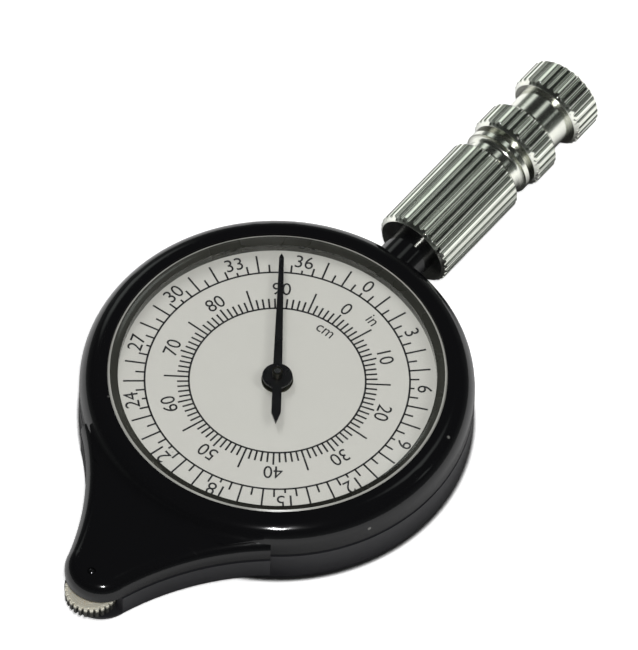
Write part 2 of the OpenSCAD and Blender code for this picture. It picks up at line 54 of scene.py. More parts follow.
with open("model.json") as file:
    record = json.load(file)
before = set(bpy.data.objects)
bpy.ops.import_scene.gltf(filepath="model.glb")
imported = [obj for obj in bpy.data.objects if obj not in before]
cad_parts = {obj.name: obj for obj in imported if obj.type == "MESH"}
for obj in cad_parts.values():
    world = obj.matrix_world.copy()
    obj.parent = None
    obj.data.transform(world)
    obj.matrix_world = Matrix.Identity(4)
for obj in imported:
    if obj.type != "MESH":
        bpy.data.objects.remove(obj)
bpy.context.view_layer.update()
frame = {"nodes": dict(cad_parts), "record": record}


def span(node, axis):
    """Lowest and highest coordinate of a CAD node along an axis, 0 to 2."""
    low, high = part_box(node)
    return low[axis], high[axis]


CRYSTAL_R = span("crystal", 0)[1]
CRYSTAL_FOOT, CRYSTAL_TOP = span("crystal", 2)
DIAL_TOP = span("dial", 2)[1]
HANDLE_Z = sum(span("grip_barrel", 2)) / 2
WHEEL_AXIS = sum(span("tracing_wheel", 1)) / 2
GEARS = ("idler_gear", "first_gear", "second_gear", "centre_gear")
PINIONS = ("drive_pinion", "first_pinion", "second_pinion")
ARBORS = ("idler_arbor", "first_arbor", "second_arbor", "centre_arbor")
SCREWS = ("plate_screws", "handle_screw")

# Lamps: name, azimuth and elevation in degrees, distance and width in metres, watts, and whether gloss mirrors it.
LAMPS = (
    ("flash", -50, 57.5, 0.9, 0.06, 4.4, True),
    ("left", 149, 40, 0.7, 0.2, 1.8, False),
    ("right", 30, 40, 0.7, 0.2, 1.2, False),
)
# Soft panels that only gloss shows: azimuth, elevation and reach in degrees, and brightness.
PANELS = ((85, 62, 9, 1.3), (150, 30, 12, 1.4), (34, 37, 5, 1.2))


def length(name, default, about):
    """A size in metres that the sidebar shows as a length; the default is given in millimetres."""
    return FloatProperty(name=name, description=about, default=default * MM, min=0, unit="LENGTH", precision=5)


def colour(name, default, about):
    return FloatVectorProperty(name=name, description=about, default=default, size=3, min=0, max=1, subtype="COLOR")


class DialPrint(bpy.types.PropertyGroup):
    """Sizes of the dial's two printed scales."""

    outer_circle: length("Outer circle", 14.0, "Radius of the outer scale's base line")
    outer_units: IntProperty(name="Outer units", description="Units in a turn of the outer scale", default=39)
    outer_step: IntProperty(name="Outer figures", description="Units from one outer figure to the next", default=3)
    outer_long: length("Outer long line", 2.25, "Length of an outer line that has no figure")
    outer_short: length("Outer short line", 1.0, "Length of the line at half an outer unit")
    outer_stub: length("Outer stub", 0.5, "Length of the line under an outer figure")
    outer_figure_r: length("Outer figure radius", 15.6, "Radius on which the outer figures stand")
    outer_figure_h: length("Outer figure height", 1.62, "Height of the outer figures")
    inner_circle: length("Inner circle", 9.33, "Radius of the inner scale's base line")
    inner_units: IntProperty(name="Inner units", description="Units in a turn of the inner scale", default=100)
    inner_step: IntProperty(name="Inner figures", description="Units from one inner figure to the next", default=10)
    inner_long: length("Inner long line", 2.65, "Length of the line at an odd five of the inner scale")
    inner_middle: length("Inner middle line", 1.55, "Length of the line under an inner figure")
    inner_short: length("Inner short line", 1.25, "Length of the line at an inner unit")
    inner_figure_r: length("Inner figure radius", 11.85, "Radius on which the inner figures stand")
    inner_figure_h: length("Inner figure height", 1.6, "Height of the inner figures")
    mark_h: length("Unit mark height", 1.35, "Height of the unit marks")
    mark_drop: length("Unit mark drop", 1.215, "How far a unit mark's middle lies inside its scale's base line")
    line: length("Line width", 0.2, "Width of the printed lines")
    ink: length("Ink height", 0.012, "How far the print stands above the dial")
    figure_width: FloatProperty(name="Figure width", description="Width of a figure against its normal one",
                                default=0.95, min=0.5, max=1.5)
    mark_turn: FloatProperty(name="Outer mark turn", description="Outer units from nought to the outer unit mark",
                             default=1.5)


class HandleForm(bpy.types.PropertyGroup):
    """Sizes of the knurled handle."""

    plain_r: length("Plain radius", 4.12, "Radius up to which the handle is turned plain, not knurled")
    broken_edge: length("Broken edge", 0.03, "Bevel on the edges of the knurling")


class CrystalForm(bpy.types.PropertyGroup):
    """Sizes of the clear crystal."""

    wall: length("Wall", 1.2, "Thickness of the side wall")
    dome: length("Dome", 0.9, "Thickness of the dome")
    rise: length("Rise", 1.45, "Height of the dome above its rim")
    edge: length("Edge", 0.3, "Rounding of the rim's edge")
    # Width of the pale ring of painted highlight on the crystal's rounded edge.
    frost: length("Painted glint band", 0.15, "How far the painted highlight reaches in from the rounding")
    lift: length("Lift", 0.01, "Gap between the foot and the dial")


class Finishes(bpy.types.PropertyGroup):
    """Colours of the object's finishes."""

    gloss_black: colour("Front shell", (0.0035, 0.0035, 0.004), "Polished black moulding")
    satin_grey: colour("Back shell", (0.014, 0.014, 0.016), "Satin dark grey moulding")
    seat: colour("Crystal seat", (0.035, 0.035, 0.029), "Seat seen through the crystal's foot")
    # Colour of the pale ring of painted highlight on the crystal's rounded edge.
    frost: colour("Crystal edge", (0.36, 0.36, 0.33), "Pale ring of painted highlight on the crystal's edge")
    enamel: colour("Dial", (0.567, 0.56, 0.522), "Pale ground of the dial")
    ink: colour("Ink", (0.006, 0.006, 0.007), "Print on the dial")
    pointer: colour("Pointer", (0.004, 0.004, 0.005), "Satin black pointer")
    olive: colour("Pipe", (0.07, 0.068, 0.05), "Darkened brass of the pointer's pipe")
    nickel: colour("Wheel", (0.9, 0.88, 0.76), "Nickelled brass of the tracing wheel")
    brass: colour("Brass", (0.72, 0.52, 0.22), "Brass of plate and gears")
    blued: colour("Axle", (0.06, 0.06, 0.065), "Blued steel of the wheel's axle")
    clear: colour("Crystal", (0.97, 0.975, 0.97), "What the crystal lets through")
    dust: colour("Dust", (0.16, 0.16, 0.15), "Specks of dust on the black mouldings")
    steel: colour("Steel", (0.52, 0.52, 0.54), "Steel of arbors and screws")
    chrome: colour("Chrome", (0.64, 0.65, 0.59), "Chromed handle")


class Staging(bpy.types.PropertyGroup):
    """Camera, floor and lamps."""

    lens: FloatProperty(name="Lens", description="Focal length in millimetres", default=777.7, min=1)
    eye: FloatVectorProperty(name="Camera place", description="Camera's place in metres", size=3,
                             default=(0.516154, -0.687834, 1.217923), unit="LENGTH", precision=5)
    turn: FloatVectorProperty(name="Camera turn", description="Camera's rotation", size=3, subtype="EULER",
                              default=(0.621223, -0.019284, 0.665791))
    floor: FloatProperty(name="Floor width", description="Width of the floor", default=6.0, unit="LENGTH")
    pale: colour("Floor", (0.9, 0.9, 0.9), "Colour of the floor and backdrop")
    lift: FloatProperty(name="Floor lift", description="Light added to the floor where it is seen", default=0.45)
    shade: length("Contact shade", 0.9, "How far the shade under the object's edge reaches")
    mirrored_shade: length("Mirrored shade", 18.0, "How far the shade that shows in the object's gloss reaches")
    fill: FloatProperty(name="Fill", description="Even light from all round", default=0.3)


PREFIX = "map_measurer_"
GROUPS = {"dial": DialPrint, "handle": HandleForm, "crystal": CrystalForm, "finish": Finishes, "staging": Staging}


def settings(key):
    return getattr(bpy.context.scene, PREFIX + key)


# --- meshes ------------------------------------------------------------------


def soften(bm, degrees=28):
    """Smooth faces, with an edge kept sharp where its faces meet at more than the angle."""
    limit = math.radians(degrees)
    for face in bm.faces:
        face.smooth = True
    for edge in bm.edges:
        edge.smooth = len(edge.link_faces) == 2 and edge.calc_face_angle(0) < limit


def outward(bm):
    bmesh.ops.remove_doubles(bm, verts=bm.verts, dist=MERGE)
    bmesh.ops.recalc_face_normals(bm, faces=bm.faces)


def piece(name, bm, material, body, replaces=(), weighted=True, degrees=28):
    """Makes an object of a bmesh, which rides on a body and may stand for CAD nodes."""
    soften(bm, degrees)
    mesh = bpy.data.meshes.new(name)
    bm.to_mesh(mesh)
    bm.free()
    mesh.materials.append(material)
    obj = bpy.data.objects.new(name, mesh)
    bpy.context.scene.collection.objects.link(obj)
    if weighted:
        normals = obj.modifiers.new("Face weighted normals", "WEIGHTED_NORMAL")
        normals.keep_sharp = True
    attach(obj, body)
    if replaces:
        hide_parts(*replaces)
    return obj


def body_of_node(node):
    bodies = frame["record"]["behaviour"]["bodies"]
    return next(body for body, nodes in bodies.items() if node in nodes)


def merged_copy(node):
    """A bmesh of a CAD node's mesh, in the row frame, with its loose triangles joined."""
    source = frame["nodes"][node]
    mesh = source.data.copy()
    for attribute in [a for a in mesh.attributes if a.name == "custom_normal"]:
        mesh.attributes.remove(attribute)
    bm = bmesh.new()
    bm.from_mesh(mesh)
    bpy.data.meshes.remove(mesh)
    bmesh.ops.remove_doubles(bm, verts=bm.verts, dist=MERGE)
    bmesh.ops.dissolve_degenerate(bm, edges=bm.edges, dist=0.0002 * MM)
    return bm


def smooth_node(node, material, degrees=28, bevel=0):
    """Stands a smooth-shaded copy of a CAD node in for it, with its edges broken by a bevel if one is given."""
    obj = piece(node + "_finished", merged_copy(node), material, body_of_node(node), [node],
                weighted=not bevel, degrees=degrees)
    if bevel:
        edges = obj.modifiers.new("Broken edges", "BEVEL")
        edges.width = bevel
        edges.segments = 2
        edges.limit_method = "ANGLE"
        edges.angle_limit = math.radians(degrees)
        edges.harden_normals = True
    return obj


def arc(centre, radius, start, end, steps):
    """Points of (radius, height) along an arc given in degrees."""
    angles = [math.radians(start + (end - start) * i / steps) for i in range(steps + 1)]
    return [(centre[0] + radius * math.cos(a), centre[1] + radius * math.sin(a)) for a in angles]


def clockwise(radius, fraction):
    """Matrix to a place on the dial: a fraction of a turn clockwise from +Y, with local +Y pointing outwards."""
    angle = -2 * math.pi * fraction
    return Matrix.Rotation(angle, 4, "Z") @ Matrix.Translation((0, radius, DIAL_TOP))


def heading(azimuth, elevation):
    """Unit vector towards an azimuth from +X and an elevation, both in degrees."""
    around, up = math.radians(azimuth), math.radians(elevation)
    return Vector((math.cos(around) * math.cos(up), math.sin(around) * math.cos(up), math.sin(up)))


# --- node groups -------------------------------------------------------------


def node_group(name, inputs, outputs):
    """A shader group with float or vector sockets, and its input and output nodes."""
    kinds = {"f": "NodeSocketFloat", "v": "NodeSocketVector"}
    group = bpy.data.node_groups.new(name, "ShaderNodeTree")
    for label, kind, default in inputs:
        socket = group.interface.new_socket(name=label, in_out="INPUT", socket_type=kinds[kind])
        socket.default_value = default
    for label, kind in outputs:
        group.interface.new_socket(name=label, in_out="OUTPUT", socket_type=kinds[kind])
    return group, group.nodes.new("NodeGroupInput"), group.nodes.new("NodeGroupOutput")


class Tree:
    """Short ways to add and link nodes in a tree."""

    def __init__(self, tree):
        self.tree = tree

    def add(self, kind, inputs=None, **settings_):
        node = self.tree.nodes.new(kind)
        for key, value in settings_.items():
            setattr(node, key, value)
        for key, value in (inputs or {}).items():
            self.set(node.inputs[key], value)
        return node

    def set(self, socket, value):
        if isinstance(value, bpy.types.NodeSocket):
            self.tree.links.new(value, socket)
        else:
            socket.default_value = value

    def math(self, operation, a, b=0.0, c=0.0, clamp=False):
        node = self.add("ShaderNodeMath", {0: a, 1: b, 2: c}, operation=operation, use_clamp=clamp)
        return node.outputs[0]

    def noise(self, vector, scale, detail=2.0, roughness=0.5):
        node = self.add("ShaderNodeTexNoise", {"Vector": vector, "Scale": scale, "Detail": detail,
                                               "Roughness": roughness})
        return node.outputs["Fac"]

    def ramp(self, value, low, high, out_low=0.0, out_high=1.0):
        node = self.add("ShaderNodeMapRange", {"Value": value, "From Min": low, "From Max": high,
                                               "To Min": out_low, "To Max": out_high}, clamp=True)
        return node.outputs["Result"]

    def stretch(self, vector, scale, turn=(0, 0, 0), place=(0, 0, 0)):
        node = self.add("ShaderNodeMapping", {"Vector": vector, "Location": place, "Rotation": turn,
                                              "Scale": scale})
        return node.outputs[0]

    def blend(self, factor, a, b):
        node = self.add("ShaderNodeMix", data_type="RGBA")
        self.set(node.inputs["Factor"], factor)
        self.set(node.inputs[6], a)
        self.set(node.inputs[7], b)
        return node.outputs[2]


def grain_group():
    """Fine even grain: a height for bump and a slow variation for colour and gloss."""
    group, gin, gout = node_group("Moulded grain", [("Vector", "v", (0, 0, 0)), ("Scale", "f", 4000.0)],
                                  [("Height", "f"), ("Cloud", "f")])
    t = Tree(group)
    t.set(gout.inputs["Height"], t.noise(gin.outputs["Vector"], gin.outputs["Scale"], 3.0, 0.6))
    slow = t.math("MULTIPLY", gin.outputs["Scale"], 0.05)
    t.set(gout.inputs["Cloud"], t.noise(gin.outputs["Vector"], slow, 3.0, 0.55))
    return group


def dust_group():
    """Sparse pale specks: a mask."""
    group, gin, gout = node_group("Dust specks", [("Vector", "v", (0, 0, 0)), ("Spacing", "f", 900.0),
                                                  ("Amount", "f", 0.06)], [("Mask", "f")])
    t = Tree(group)
    cells = t.add("ShaderNodeTexVoronoi", {"Vector": gin.outputs["Vector"], "Scale": gin.outputs["Spacing"]})
    chosen = t.add("ShaderNodeSeparateColor", {"Color": cells.outputs["Color"]})
    near = t.ramp(cells.outputs["Distance"], 0.05, 0.11, 1.0, 0.0)
    rare = t.math("LESS_THAN", chosen.outputs["Red"], gin.outputs["Amount"])
    t.set(gout.inputs["Mask"], t.math("MULTIPLY", near, rare))
    return group


def turning_group():
    """Fine turning lines round an axis along Z: a height for bump and gloss."""
    group, gin, gout = node_group("Turning lines", [("Vector", "v", (0, 0, 0)), ("Across", "f", 9000.0),
                                                    ("Along", "f", 0.6)], [("Height", "f")])
    t = Tree(group)
    place = t.add("ShaderNodeSeparateXYZ", {0: gin.outputs["Vector"]})
    around = t.math("ARCTAN2", place.outputs["Y"], place.outputs["X"])
    square = t.math("ADD", t.math("MULTIPLY", place.outputs["X"], place.outputs["X"]),
                    t.math("MULTIPLY", place.outputs["Y"], place.outputs["Y"]))
    radius = t.math("SQRT", square)
    lines = t.add("ShaderNodeCombineXYZ", {
        "X": t.math("MULTIPLY", radius, gin.outputs["Across"]),
        "Y": t.math("MULTIPLY", around, gin.outputs["Along"]),
        "Z": t.math("MULTIPLY", place.outputs["Z"], gin.outputs["Across"])})
    t.set(gout.inputs["Height"], t.noise(lines.outputs[0], 1.0, 2.0, 0.5))
    return group


def scratch_group():
    """Hairline scratches in two directions: a mask."""
    group, gin, gout = node_group("Hairlines", [("Vector", "v", (0, 0, 0)), ("Scale", "f", 150.0),
                                                ("Amount", "f", 0.3)], [("Mask", "f")])
    t = Tree(group)
    masks = []
    for turn, place in ((0.5, 0.0), (-0.9, 3.0)):
        line = t.stretch(gin.outputs["Vector"], (1.0, 22.0, 1.0), (0, 0, turn), (place, 0, 0))
        noise = t.noise(line, gin.outputs["Scale"], 2.0, 0.45)
        masks.append(t.ramp(noise, 0.68, 0.72))
    both = t.math("MAXIMUM", masks[0], masks[1])
    t.set(gout.inputs["Mask"], t.math("MULTIPLY", both, gin.outputs["Amount"]))
    return group


GROUP_NAMES = {grain_group: "Moulded grain", dust_group: "Dust specks", turning_group: "Turning lines",
               scratch_group: "Hairlines"}


def shared_group(build):
    """A node group, which is built the first time that it is asked for."""
    return bpy.data.node_groups.get(GROUP_NAMES[build]) or build()


# --- materials ---------------------------------------------------------------


class Finish(Tree):
    """A material with one Principled BSDF, and Object coordinates to hand."""

    def __init__(self, name):
        self.material = bpy.data.materials.new(name)
        self.material.use_nodes = True
        super().__init__(self.material.node_tree)
        self.shader = self.tree.nodes["Principled BSDF"]
        self.output = self.tree.nodes["Material Output"]
        self.here = self.add("ShaderNodeTexCoord").outputs["Object"]

    def group(self, build, **values):
        node = self.add("ShaderNodeGroup", node_tree=shared_group(build))
        for key, value in {"Vector": self.here, **values}.items():
            self.set(node.inputs[key], value)
        return node

    def surface(self, **values):
        for key, value in values.items():
            self.set(self.shader.inputs[key.replace("_", " ")], value)
        return self

    def bump(self, height, strength, distance):
        node = self.add("ShaderNodeBump", {"Height": height, "Strength": strength, "Distance": distance})
        self.set(self.shader.inputs["Normal"], node.outputs[0])
        return self


def rgb(values, factor=1.0):
    return tuple(min(1.0, value * factor) for value in values) + (1.0,)


def gloss_black():
    f = Finish("Polished black moulding")
    base = settings("finish").gloss_black
    grain = f.group(grain_group, Scale=2500.0)
    dust = f.group(dust_group, Spacing=420.0, Amount=0.05)
    hair = f.group(scratch_group, Scale=120.0, Amount=0.5)
    tint = f.blend(dust.outputs["Mask"], rgb(base), rgb(settings("finish").dust))
    rough = f.ramp(grain.outputs["Cloud"], 0.3, 0.7, 0.09, 0.13)
    rough = f.math("ADD", rough, f.math("MULTIPLY", hair.outputs["Mask"], 0.12))
    rough = f.math("ADD", rough, f.math("MULTIPLY", dust.outputs["Mask"], 0.4))
    f.surface(Base_Color=tint, Roughness=rough, IOR=1.46, Specular_IOR_Level=0.3)
    return f.bump(grain.outputs["Cloud"], 0.06, 0.06 * MM).material


def satin_grey():
    f = Finish("Satin dark moulding")
    base = settings("finish").satin_grey
    grain = f.group(grain_group, Scale=5200.0)
    dust = f.group(dust_group, Spacing=500.0, Amount=0.04)
    tint = f.blend(grain.outputs["Cloud"], rgb(base, 0.8), rgb(base, 1.25))
    tint = f.blend(dust.outputs["Mask"], tint, rgb(settings("finish").dust, 0.8))
    f.surface(Base_Color=tint, Roughness=f.ramp(grain.outputs["Cloud"], 0.3, 0.7, 0.34, 0.44), IOR=1.48)
    return f.bump(grain.outputs["Height"], 0.25, 0.02 * MM).material


def clear_crystal():
    """Clear plastic. Lamps shine through it as if it weren't there, so that the dial keeps its light."""
    f = Finish("Clear crystal")
    hair = f.group(scratch_group, Scale=90.0, Amount=1.0)
    f.surface(Base_Color=(1, 1, 1, 1), Metallic=0.0, IOR=1.49, Transmission_Weight=1.0,
              Roughness=f.math("MULTIPLY", hair.outputs["Mask"], 0.05))
    path = f.add("ShaderNodeLightPath")
    passing = f.math("MAXIMUM", path.outputs["Is Shadow Ray"], path.outputs["Is Diffuse Ray"])
    clear = f.add("ShaderNodeBsdfTransparent", {"Color": rgb(settings("finish").clear)})
    mix = f.add("ShaderNodeMixShader", {0: passing, 1: f.shader.outputs[0], 2: clear.outputs[0]})
    f.tree.links.new(mix.outputs[0], f.output.inputs["Surface"])
    return f.material


def seated_edge():
    """The crystal's side and foot where they touch the black bore and its grey seat, which show through them."""
    f = Finish("Seated crystal edge")
    colours = settings("finish")
    grain = f.group(grain_group, Scale=3000.0)
    height = f.add("ShaderNodeSeparateXYZ", {0: f.here}).outputs["Z"]
    seat = f.blend(grain.outputs["Cloud"], rgb(colours.seat, 0.8), rgb(colours.seat, 1.2))
    tint = f.blend(f.ramp(height, CRYSTAL_FOOT + 0.1 * MM, CRYSTAL_FOOT + 0.3 * MM), seat, rgb(colours.gloss_black))
    return f.surface(Base_Color=tint, Roughness=f.ramp(grain.outputs["Cloud"], 0.3, 0.7, 0.2, 0.4)).material


def frosted_edge():
    """The crystal's rounded edge, painted as a pale ring: a painted highlight that stands in for the glint on the rim.
    """
    f = Finish("Crystal edge with painted glint")
    base = settings("finish").frost
    grain = f.group(grain_group, Scale=3000.0)
    tint = f.blend(grain.outputs["Cloud"], rgb(base, 0.55), rgb(base, 1.4))
    f.surface(Base_Color=tint, Roughness=f.ramp(grain.outputs["Cloud"], 0.3, 0.7, 0.15, 0.3))
    return f.bump(grain.outputs["Cloud"], 0.2, 0.04 * MM).material


def dial_enamel():
    f = Finish("Pale dial enamel")
    base = settings("finish").enamel
    grain = f.group(grain_group, Scale=6000.0)
    dust = f.group(dust_group, Spacing=700.0, Amount=0.03)
    tint = f.blend(grain.outputs["Cloud"], rgb(base, 0.975), rgb(base, 1.02))
    tint = f.blend(dust.outputs["Mask"], tint, rgb(base, 0.5))
    f.surface(Base_Color=tint, Roughness=f.ramp(grain.outputs["Height"], 0.3, 0.7, 0.5, 0.6))
    return f.bump(grain.outputs["Height"], 0.1, 0.01 * MM).material


def printing_ink():
    f = Finish("Black printing ink")
    base = settings("finish").ink
    grain = f.group(grain_group, Scale=9000.0)
    tint = f.blend(f.ramp(grain.outputs["Height"], 0.35, 0.75), rgb(base), rgb(base, 3.0))
    return f.surface(Base_Color=tint, Roughness=0.55).material


def pointer_black():
    f = Finish("Satin black pointer")
    base = settings("finish").pointer
    grain = f.group(grain_group, Scale=7000.0)
    f.surface(Base_Color=rgb(base), Roughness=f.ramp(grain.outputs["Cloud"], 0.3, 0.7, 0.24, 0.34))
    return f.bump(grain.outputs["Height"], 0.15, 0.01 * MM).material


def turned_metal(name, base, low, high, across=9000.0, centre=(0, 0, 0)):
    """Metal with turning lines round an upright axis through centre; low and high bound its roughness."""
    f = Finish(name)
    local = f.stretch(f.here, (1, 1, 1), place=tuple(-value for value in centre))
    lines = f.group(turning_group, Vector=local, Across=across)
    cloud = f.group(grain_group, Scale=3000.0)
    tint = f.blend(cloud.outputs["Cloud"], rgb(base, 0.94), rgb(base, 1.06))
    f.surface(Base_Color=tint, Metallic=1.0, Roughness=f.ramp(lines.outputs["Height"], 0.3, 0.7, low, high))
    return f.bump(lines.outputs["Height"], 0.4, 0.004 * MM).material


def chrome_plate():
    """Chrome, bright on the knurling and finely turned on the plain parts between, told apart by their radius."""
    f = Finish("Chrome plate")
    base = settings("finish").chrome
    edge = settings("handle").plain_r
    local = f.stretch(f.here, (1, 1, 1), (math.pi / 2, 0, 0), (0, HANDLE_Z, 0))
    across = f.stretch(local, (1, 1, 0))
    radius = f.add("ShaderNodeVectorMath", {0: across}, operation="LENGTH").outputs["Value"]
    plain = f.ramp(radius, edge - 0.04 * MM, edge + 0.04 * MM, 1.0, 0.0)
    lines = f.group(turning_group, Vector=local, Across=7000.0)
    cloud = f.group(grain_group, Scale=8000.0)
    tint = f.blend(f.ramp(cloud.outputs["Cloud"], 0.3, 0.7), rgb(base, 0.9), rgb(base, 1.06))
    rough = f.ramp(cloud.outputs["Cloud"], 0.3, 0.7, 0.03, 0.07)
    rough = f.math("ADD", rough, f.math("MULTIPLY", plain, 0.14))
    f.surface(Base_Color=tint, Metallic=1.0, Roughness=rough)
    return f.bump(f.math("MULTIPLY", lines.outputs["Height"], plain), 0.5, 0.015 * MM).material


def worn_nickel():
    """Worn nickel with deep turned rings on the faces, and a rim painted darker downwards as painted shade."""
    f = Finish("Worn nickel on brass")
    base = settings("finish").nickel
    brass = settings("finish").brass
    low, high = span("tracing_wheel", 2)
    height = f.add("ShaderNodeSeparateXYZ", {0: f.here}).outputs["Z"]
    # Painted shade: the rim's colour goes dark towards its bottom, by height.
    painted_shade_ramp = f.ramp(height, low + 0.6 * (high - low), high - 0.02 * MM)
    cloud = f.group(grain_group, Scale=9000.0)
    worn = f.ramp(cloud.outputs["Height"], 0.56, 0.75)
    tint = f.blend(worn, rgb(base), rgb(brass))
    tint = f.blend(painted_shade_ramp, rgb(base, 0.04), tint)
    f.surface(Base_Color=tint, Metallic=0.5, Roughness=f.ramp(cloud.outputs["Height"], 0.3, 0.7, 0.42, 0.55))
    around = f.stretch(f.here, (1, 1, 1), place=(0, -WHEEL_AXIS, 0))
    lines = f.group(turning_group, Vector=around, Across=7000.0)
    return f.bump(lines.outputs["Height"], 1.0, 0.09 * MM).material


# --- operators ---------------------------------------------------------------


class BuildShells(bpy.types.Operator):
    """Dress the polished front shell and the satin back shell"""

    bl_idname = "measurer.shells"
    bl_label = "Shells"

    def execute(self, context):
        smooth_node("front_shell", gloss_black())
        smooth_node("back_shell", satin_grey())
        return {"FINISHED"}


class BuildCrystal(bpy.types.Operator):
    """Spin the domed crystal, a clear cup that stands on the rim of the dial"""

    bl_idname = "measurer.crystal"
    bl_label = "Crystal"

    def execute(self, context):
        form = settings("crystal")
        foot = CRYSTAL_FOOT + form.lift
        rim = CRYSTAL_TOP - form.rise
        dome_r = (CRYSTAL_R ** 2 + form.rise ** 2) / (2 * form.rise)
        centre = (0, CRYSTAL_TOP - dome_r)
        inner_r = CRYSTAL_R - form.wall

        def tilt(radius, at):
            return math.degrees(math.acos(at / radius))

        corner = CRYSTAL_R - form.edge
        outer = arc((corner, rim - form.edge), form.edge, 0, tilt(dome_r, CRYSTAL_R), EDGE_STEPS)
        dome = arc(centre, dome_r, tilt(dome_r, corner), 90, DOME_STEPS)
        under = arc(centre, dome_r - form.dome, 90, tilt(dome_r - form.dome, inner_r), DOME_STEPS)
        points = [(CRYSTAL_R, foot)] + outer + dome + under + [(inner_r, foot)]
        points = [(r if r > HAIR else 0.0, z) for r, z in points]
        bm = bmesh.new()
        verts = [bm.verts.new((r, 0, z)) for r, z in points]
        edges = [bm.edges.new(pair) for pair in zip(verts, verts[1:] + verts[:1])
                 if pair[0].co.x + pair[1].co.x > 0]
        bmesh.ops.spin(bm, geom=verts + edges, cent=(0, 0, 0), axis=(0, 0, 1), angle=2 * math.pi,
                       steps=CRYSTAL_STEPS, use_merge=True)
        outward(bm)
        for face in bm.faces:
            radii = [vert.co.xy.length for vert in face.verts]
            heights = [vert.co.z for vert in face.verts]
            seated = min(radii) > CRYSTAL_R - HAIR or max(heights) < foot + HAIR
            # Faces on the rounded rim take the pale ring of painted highlight.
            glint_face = min(radii) > corner - form.frost and min(heights) > rim - form.edge - HAIR
            face.material_index = 2 if glint_face else int(seated)
        crystal = piece("crystal_dome", bm, clear_crystal(), "case", ["crystal"], degrees=40)
        crystal.data.materials.append(seated_edge())
        crystal.data.materials.append(frosted_edge())
        return {"FINISHED"}


class BuildDial(bpy.types.Operator):
    """Dress the dial and print its two scales"""

    bl_idname = "measurer.dial"
    bl_label = "Dial"

    def line(self, bm, radius, fraction, size):
        """One printed line that starts on a radius and runs outwards."""
        form = settings("dial")
        place = clockwise(radius + size / 2, fraction) @ Matrix.Diagonal((form.line, size, 2 * form.ink, 1))
        bmesh.ops.create_cube(bm, size=1, matrix=place)

    def circle(self, bm, radius):
        form = settings("dial")
        ring = bmesh.new()
        verts = [ring.verts.new((radius + s * form.line / 2, 0, DIAL_TOP + h * form.ink))
                 for s, h in ((-1, -1), (1, -1), (1, 1), (-1, 1))]
        edges = [ring.edges.new(pair) for pair in zip(verts, verts[1:] + verts[:1])]
        bmesh.ops.spin(ring, geom=verts + edges, cent=(0, 0, 0), axis=(0, 0, 1), angle=2 * math.pi,
                       steps=CIRCLE_STEPS, use_merge=True)
        mesh = bpy.data.meshes.new("ring")
        ring.to_mesh(mesh)
        ring.free()
        bm.from_mesh(mesh)
        bpy.data.meshes.remove(mesh)

    def words(self, bm, text, height, width, matrix):
        """Adds a text's mesh, centred on its place, to a bmesh."""
        form = settings("dial")
        curve = bpy.data.curves.new("figure", "FONT")
        curve.body = text
        curve.align_x = "CENTER"
        curve.align_y = "CENTER"
        curve.extrude = form.ink
        curve.resolution_u = 6
        curve.size = height / FIGURE_SHARE
        obj = bpy.data.objects.new("figure", curve)
        context = bpy.context
        context.scene.collection.objects.link(obj)
        mesh = bpy.data.meshes.new_from_object(obj.evaluated_get(context.evaluated_depsgraph_get()))
        low = min(v.co.y for v in mesh.vertices)
        high = max(v.co.y for v in mesh.vertices)
        centre = Matrix.Translation((0, -(low + high) / 2, 0))
        mesh.transform(matrix @ Matrix.Diagonal((width, 1, 1, 1)) @ centre)
        bm.from_mesh(mesh)
        bpy.data.meshes.remove(mesh)
        bpy.data.objects.remove(obj)
        bpy.data.curves.remove(curve)

    def scales(self, bm):
        form = settings("dial")
        self.circle(bm, form.outer_circle)
        self.circle(bm, form.inner_circle)
        for half in range(2 * form.outer_units):
            unit, rest = divmod(half, 2)
            if rest:
                size = form.outer_short
            else:
                size = form.outer_long if unit % form.outer_step else form.outer_stub
            self.line(bm, form.outer_circle, half / 2 / form.outer_units, size)
        for unit in range(form.inner_units):
            size = form.inner_short
            if unit % 5 == 0:
                size = form.inner_long if unit % form.inner_step else form.inner_middle
            self.line(bm, form.inner_circle, unit / form.inner_units, size)

    def figures(self, bm):
        form = settings("dial")
        for unit in range(0, form.outer_units, form.outer_step):
            self.words(bm, str(unit), form.outer_figure_h, form.figure_width,
                       clockwise(form.outer_figure_r, unit / form.outer_units))
        for unit in range(0, form.inner_units, form.inner_step):
            self.words(bm, str(unit), form.inner_figure_h, form.figure_width,
                       clockwise(form.inner_figure_r, unit / form.inner_units))
        for text, radius, turn in (("in", form.outer_circle, form.mark_turn / form.outer_units),
                                   ("cm", form.inner_circle, 0)):
            self.words(bm, text, form.mark_h, form.figure_width, clockwise(radius - form.mark_drop, turn))

    def execute(self, context):
        smooth_node("dial", dial_enamel())
        ink = printing_ink()
        lines = bmesh.new()
        self.scales(lines)
        piece("dial_lines", lines, ink, "case", weighted=False)
        figures = bmesh.new()
        self.figures(figures)
        piece("dial_figures", figures, ink, "case", weighted=False)
        return {"FINISHED"}


class BuildPointer(bpy.types.Operator):
    """Dress the pointer, its pipe and the bush in the middle of the dial"""

    bl_idname = "measurer.pointer"
    bl_label = "Pointer"

    def execute(self, context):
        finish = settings("finish")
        smooth_node("pointer", pointer_black(), bevel=0.04 * MM)
        smooth_node("pointer_pipe", turned_metal("Darkened brass pipe", finish.olive, 0.25, 0.4))
        smooth_node("dial_bush", turned_metal("Blackened bush", finish.olive, 0.3, 0.45), bevel=0.03 * MM)
        return {"FINISHED"}


class BuildWheel(bpy.types.Operator):
    """Dress the serrated tracing wheel and its axle"""

    bl_idname = "measurer.wheel"
    bl_label = "Tracing wheel"

    def execute(self, context):
        finish = settings("finish")
        centre = (0, WHEEL_AXIS, 0)
        smooth_node("tracing_wheel", worn_nickel(), bevel=0.04 * MM)
        smooth_node("wheel_axle", turned_metal("Blued axle steel", finish.blued, 0.15, 0.25, centre=centre))
        return {"FINISHED"}


